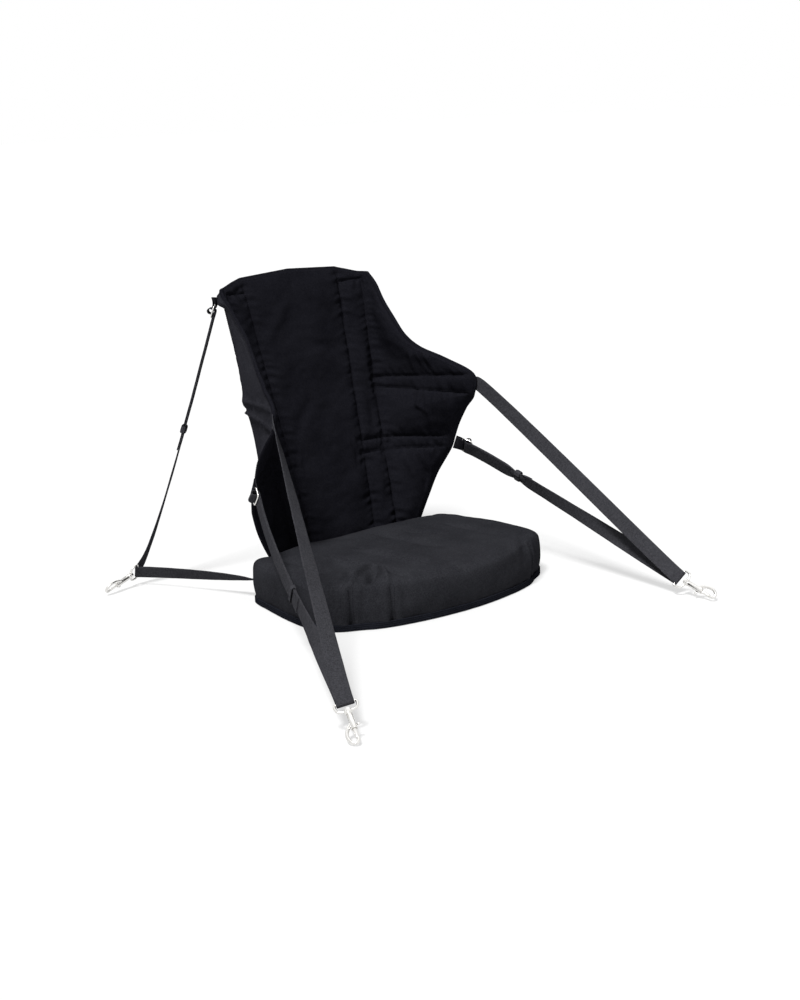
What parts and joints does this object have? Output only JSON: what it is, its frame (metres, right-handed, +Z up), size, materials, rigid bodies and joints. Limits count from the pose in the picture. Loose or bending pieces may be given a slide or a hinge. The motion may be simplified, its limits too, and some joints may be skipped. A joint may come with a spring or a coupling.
{
  "type": "kayak seat",
  "caption": "Kayak seat with a padded, quilted backrest, forward-curling side wings, a thick seat cushion, and webbing straps that end in swivel bolt snaps.",
  "frame": {"origin": "centre of the cushion's flat underside, on the surface that the seat rests on", "axes": "+Z up; -Y is the way the sitter faces; +X is the sitter's left hand side"},
  "size_m": [0.8144, 0.9665, 0.5306],
  "materials": {
    "base_fabric": "coated black base cloth",
    "edge_tape": "black folded binding tape",
    "fabric": "black woven polyester",
    "fabric_rear": "charcoal woven polyester",
    "foam": "grey foam padding",
    "nickel": "bright nickel plate",
    "spring_steel": "drawn spring wire",
    "webbing": "charcoal woven webbing"
  },
  "bodies": {
    "seat": {"back_edge_tape": "edge_tape", "back_front_cover": "fabric", "back_rear_cover": "fabric_rear", "foam_band_lower_left": "foam", "foam_band_lower_right": "foam", "foam_band_upper_left": "foam", "foam_band_upper_right": "foam", "foam_middle": "foam", "foam_wing_lower_left": "foam", "foam_wing_lower_right": "foam", "foam_wing_middle_left": "foam", "foam_wing_middle_right": "foam", "foam_wing_upper_left": "foam", "foam_wing_upper_right": "foam", "hinge_flap": "fabric", "keeper_front_left": "webbing", "keeper_front_right": "webbing", "keeper_rear_left": "webbing", "keeper_rear_right": "webbing", "seat_base": "base_fabric", "seat_cover": "fabric", "seat_foam": "foam", "seat_hem": "edge_tape", "slider_front_left": "nickel", "slider_front_right": "nickel", "slider_rear_left": "nickel", "slider_rear_right": "nickel", "tab_front_left": "webbing", "tab_front_right": "webbing", "tab_rear_left": "webbing", "tab_rear_right": "webbing", "webbing_front_left": "webbing", "webbing_front_right": "webbing", "webbing_rear_left": "webbing", "webbing_rear_right": "webbing"},
    "eye_front_right": {"hook_eye_front_right": "nickel"},
    "snap_front_right": {"hook_body_front_right": "nickel", "hook_spring_front_right": "spring_steel"},
    "bolt_front_right": {"hook_bolt_front_right": "nickel"},
    "eye_front_left": {"hook_eye_front_left": "nickel"},
    "snap_front_left": {"hook_body_front_left": "nickel", "hook_spring_front_left": "spring_steel"},
    "bolt_front_left": {"hook_bolt_front_left": "nickel"},
    "eye_rear_left": {"hook_eye_rear_left": "nickel"},
    "snap_rear_left": {"hook_body_rear_left": "nickel", "hook_spring_rear_left": "spring_steel"},
    "bolt_rear_left": {"hook_bolt_rear_left": "nickel"},
    "eye_rear_right": {"hook_eye_rear_right": "nickel"},
    "snap_rear_right": {"hook_body_rear_right": "nickel", "hook_spring_rear_right": "spring_steel"},
    "bolt_rear_right": {"hook_bolt_rear_right": "nickel"}
  },
  "joints": [
    {"name": "eye_swing_front_right", "type": "hinge", "parent": "seat", "child": "eye_front_right", "pos_m": [0.2895, -0.358, 0.027], "axis": [0.7141, -0.203, 0.6699], "range_deg": [-25, 25]},
    {"name": "swivel_front_right", "type": "hinge", "parent": "eye_front_right", "child": "snap_front_right", "pos_m": [0.2895, -0.37235, 0.02265], "axis": [0, -0.957, -0.29], "continuous": true},
    {"name": "bolt_slide_front_right", "type": "slide", "parent": "snap_front_right", "child": "bolt_front_right", "axis": [0, -0.957, -0.29], "range_m": [-0.008, 0], "stiffness_N_per_m": 350, "springref_m": 0.004, "deforming": ["hook_spring_front_right"]},
    {"name": "eye_swing_front_left", "type": "hinge", "parent": "seat", "child": "eye_front_left", "pos_m": [-0.4755, -0.439, 0.036], "axis": [-0.8561, 0.4752, -0.203], "range_deg": [-25, 25]},
    {"name": "swivel_front_left", "type": "hinge", "parent": "eye_front_left", "child": "snap_front_left", "pos_m": [-0.48098, -0.45151, 0.0298], "axis": [-0.3651, -0.8343, -0.4131], "continuous": true},
    {"name": "bolt_slide_front_left", "type": "slide", "parent": "snap_front_left", "child": "bolt_front_left", "axis": [-0.3651, -0.8343, -0.4131], "range_m": [-0.008, 0], "stiffness_N_per_m": 350, "springref_m": 0.004, "deforming": ["hook_spring_front_left"]},
    {"name": "eye_swing_rear_left", "type": "hinge", "parent": "seat", "child": "eye_rear_left", "pos_m": [-0.2915, 0.378, 0.027], "axis": [-0.1888, -0.4893, 0.8515], "range_deg": [-25, 25]},
    {"name": "swivel_rear_left", "type": "hinge", "parent": "eye_rear_left", "child": "snap_rear_left", "pos_m": [-0.3057, 0.3759, 0.02264], "axis": [-0.9466, -0.1402, -0.2905], "continuous": true},
    {"name": "bolt_slide_rear_left", "type": "slide", "parent": "snap_rear_left", "child": "bolt_rear_left", "axis": [-0.9466, -0.1402, -0.2905], "range_m": [-0.008, 0], "stiffness_N_per_m": 350, "springref_m": 0.004, "deforming": ["hook_spring_rear_left"]},
    {"name": "eye_swing_rear_right", "type": "hinge", "parent": "seat", "child": "eye_rear_right", "pos_m": [0.262, 0.395, 0.027], "axis": [0.6653, -0.0141, 0.7464], "range_deg": [-25, 25]},
    {"name": "swivel_rear_right", "type": "hinge", "parent": "eye_rear_right", "child": "snap_rear_right", "pos_m": [0.2665, 0.40881, 0.02325], "axis": [0.3002, 0.9205, -0.2501], "continuous": true},
    {"name": "bolt_slide_rear_right", "type": "slide", "parent": "snap_rear_right", "child": "bolt_rear_right", "axis": [0.3002, 0.9205, -0.2501], "range_m": [-0.008, 0], "stiffness_N_per_m": 350, "springref_m": 0.004, "deforming": ["hook_spring_rear_right"]}
  ]
}
